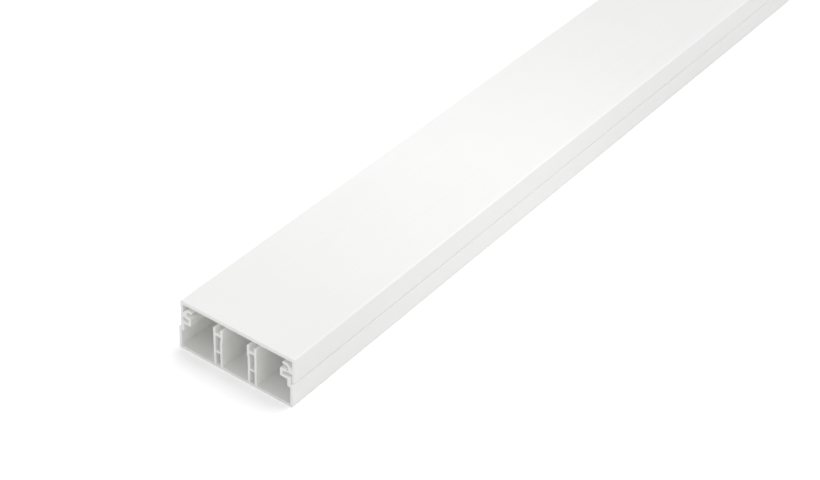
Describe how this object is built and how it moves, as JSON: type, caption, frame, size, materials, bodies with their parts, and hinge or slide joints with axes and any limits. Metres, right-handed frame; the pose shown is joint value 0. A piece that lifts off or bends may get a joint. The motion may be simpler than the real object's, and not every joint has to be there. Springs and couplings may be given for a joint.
{
  "type": "cord cover raceway",
  "caption": "Flat rectangular length of white plastic cable trunking: a base with hooked side rails and ladder partitions that form compartments, closed by a clip-on cover.",
  "frame": {"origin": "middle of the underside, halfway along the stock", "axes": "+Y along the length, away from the end that the picture shows; +X across the width; +Z out of the wall, from the flat back to the cover"},
  "size_m": [0.1, 2.002, 0.04],
  "materials": {
    "base_plastic": "white rigid PVC extrusion, satin, with sawn ends",
    "cover_plastic": "white rigid PVC extrusion, smooth satin, with sawn ends"
  },
  "bodies": {
    "root": {"trunking_base": "base_plastic", "trunking_cover": "cover_plastic"}
  },
  "joints": []
}
